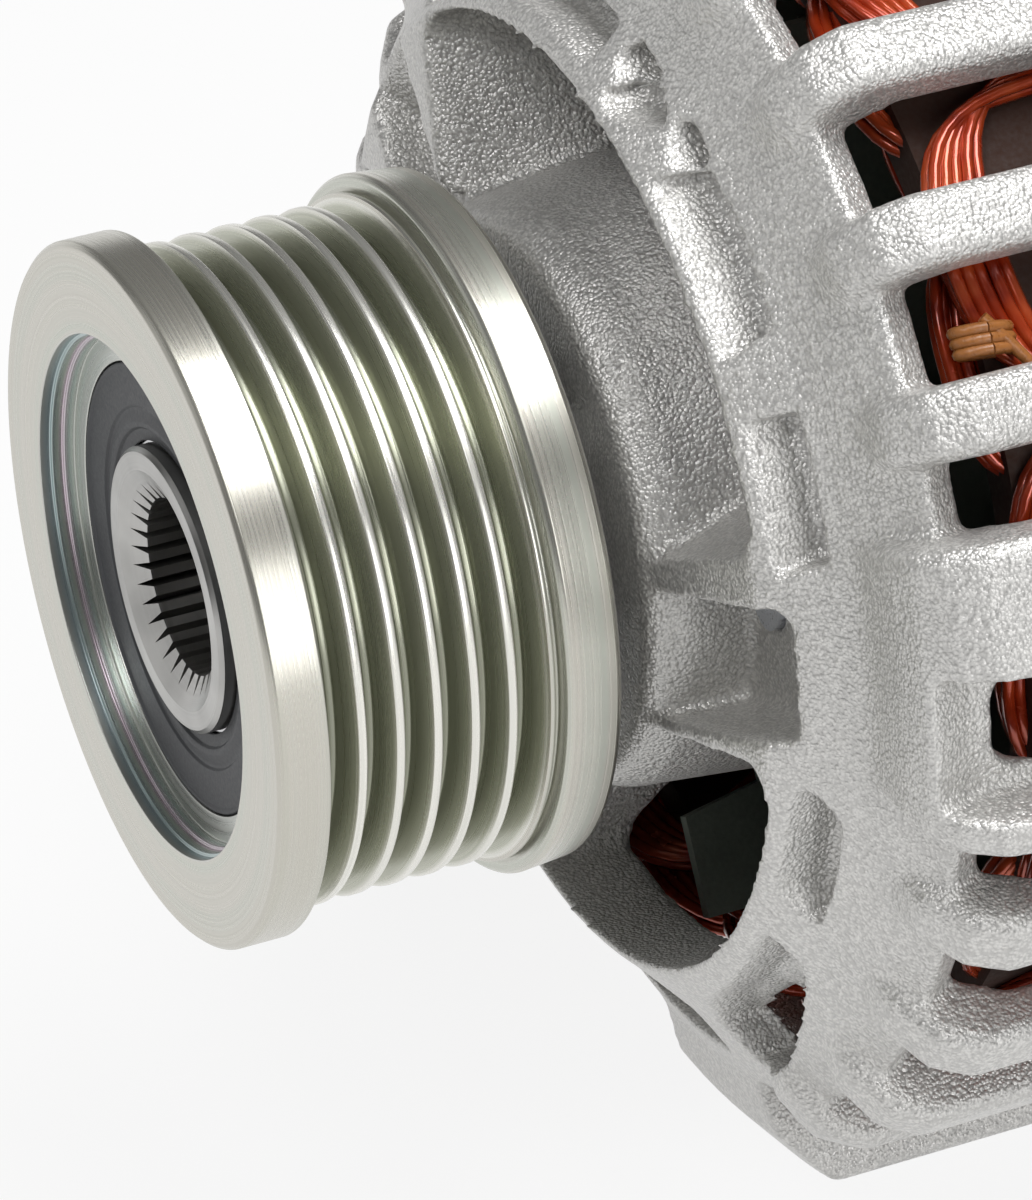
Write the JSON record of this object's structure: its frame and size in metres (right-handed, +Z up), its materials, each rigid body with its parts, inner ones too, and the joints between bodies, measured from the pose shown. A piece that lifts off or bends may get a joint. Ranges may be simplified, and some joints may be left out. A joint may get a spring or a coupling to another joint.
{
  "type": "engine alternator",
  "caption": "Engine alternator with an overrunning ribbed belt pulley, open cast aluminium end brackets over a copper winding, mounting ears and a rear cover.",
  "frame": {"origin": "on the shaft axis, in the plane of the pulley's front face", "axes": "+Y runs rearwards along the shaft, +Z up, +X to the side of the right front ear"},
  "size_m": [0.1784, 0.184, 0.1428],
  "materials": {
    "cast_aluminium": "shot-blasted sand-cast grain",
    "plated_pulley_steel": "fine turned, yellowish passivated zinc",
    "hub_steel": "turned steel",
    "bearing_steel": "ground and polished",
    "seal_rubber": "moulded",
    "cage_plastic": "moulded",
    "laminated_steel": "stacked sheet edges",
    "enamelled_copper": "glossy red-brown enamel",
    "slot_insulation": "pressed paper",
    "forged_pole_steel": "forged, turned outside",
    "bobbin_plastic": "moulded",
    "fan_sheet": "grey-green coated sheet",
    "slip_ring_copper": "polished running track",
    "moulded_resin": "moulded",
    "plated_fastener": "blue zinc plated",
    "rectifier_aluminium": "stamped sheet",
    "diode_case": "nickel-plated copper",
    "black_plastic": "fine moulded grain",
    "regulator_plastic": "glass-filled moulding",
    "carbon": "pressed graphite",
    "spring_wire": "drawn wire",
    "tinned_pin": "tinned"
  },
  "bodies": {
    "housing": {"drive_end_bracket": "cast_aluminium", "drive_end_face": "cast_aluminium", "drive_end_bearing_seat": "cast_aluminium", "drive_end_ears": "cast_aluminium", "slip_ring_end_ear": "cast_aluminium", "bearing_retainer": "plated_fastener", "retainer_screws": "plated_fastener", "slip_ring_end_bracket": "cast_aluminium", "through_bolts": "plated_fastener", "rear_ear_bush": "plated_fastener", "front_bearing_outer_race": "bearing_steel", "front_bearing_seals": "seal_rubber", "rear_bearing_outer_race": "bearing_steel", "rear_bearing_seals": "seal_rubber", "rear_bearing_sleeve": "cage_plastic", "stator_core": "laminated_steel", "stator_winding": "enamelled_copper", "slot_wedges": "slot_insulation", "rectifier_negative_plate": "rectifier_aluminium", "rectifier_positive_plate": "rectifier_aluminium", "rectifier_diodes": "diode_case", "rectifier_carrier": "black_plastic", "regulator_body": "regulator_plastic", "brush_holder": "regulator_plastic", "connector_pins": "tinned_pin", "regulator_heat_sink": "rectifier_aluminium", "rear_cover": "black_plastic", "cover_studs": "plated_fastener", "cover_nuts": "plated_fastener", "output_stud": "plated_fastener", "output_stud_insulator": "black_plastic", "output_stud_nut": "plated_fastener", "brush_spring_front": "spring_wire", "brush_spring_rear": "spring_wire"},
    "rotor": {"rotor_shaft": "hub_steel", "claw_poles": "forged_pole_steel", "field_bobbin": "bobbin_plastic", "field_coil": "enamelled_copper", "cooling_fans": "fan_sheet", "slip_rings": "slip_ring_copper", "slip_ring_carrier": "moulded_resin", "pulley_hub": "hub_steel", "pulley_inner_races": "bearing_steel", "clutch_ramp": "hub_steel", "clutch_rollers": "bearing_steel", "clutch_cage": "cage_plastic", "front_bearing_inner_race": "bearing_steel", "rear_bearing_inner_race": "bearing_steel"},
    "pulley": {"pulley_ring": "plated_pulley_steel", "pulley_outer_races": "bearing_steel", "clutch_sleeve": "hub_steel", "pulley_seals": "seal_rubber"},
    "front_bearing_set": {"front_bearing_balls": "bearing_steel", "front_bearing_cage": "cage_plastic"},
    "rear_bearing_set": {"rear_bearing_balls": "bearing_steel", "rear_bearing_cage": "cage_plastic"},
    "pulley_bearing_set": {"pulley_balls": "bearing_steel", "pulley_ball_cages": "cage_plastic"},
    "front_brush": {"brush_front": "carbon"},
    "rear_brush": {"brush_rear": "carbon"}
  },
  "joints": [
    {"name": "rotor_spin", "type": "hinge", "parent": "housing", "child": "rotor", "pos_m": [0, 0.096, 0], "axis": [0, 1, 0], "continuous": true},
    {"name": "pulley_overrun", "type": "hinge", "parent": "rotor", "child": "pulley", "pos_m": [0, 0.0164, 0], "axis": [0, 1, 0], "continuous": true},
    {"name": "front_bearing_roll", "type": "hinge", "parent": "housing", "child": "front_bearing_set", "pos_m": [0, 0.0482, 0], "axis": [0, 1, 0], "continuous": true},
    {"name": "rear_bearing_roll", "type": "hinge", "parent": "housing", "child": "rear_bearing_set", "pos_m": [0, 0.1365, 0], "axis": [0, 1, 0], "continuous": true},
    {"name": "pulley_bearing_roll", "type": "hinge", "parent": "rotor", "child": "pulley_bearing_set", "pos_m": [0, 0.0164, 0], "axis": [0, 1, 0], "continuous": true},
    {"name": "front_brush_lift", "type": "slide", "parent": "housing", "child": "front_brush", "axis": [0, 0, 1], "range_m": [0, 0.003], "stiffness_N_per_m": 200, "springref_m": -0.02, "deforming": ["brush_spring_front"]},
    {"name": "rear_brush_lift", "type": "slide", "parent": "housing", "child": "rear_brush", "axis": [0, 0, 1], "range_m": [0, 0.003], "stiffness_N_per_m": 200, "springref_m": -0.02, "deforming": ["brush_spring_rear"]}
  ],
  "couplings": [
    {"joint": "front_bearing_roll", "follows": "rotor_spin", "ratio": 0.3656},
    {"joint": "rear_bearing_roll", "follows": "rotor_spin", "ratio": 0.38},
    {"joint": "pulley_bearing_roll", "follows": "pulley_overrun", "ratio": 0.5698}
  ]
}
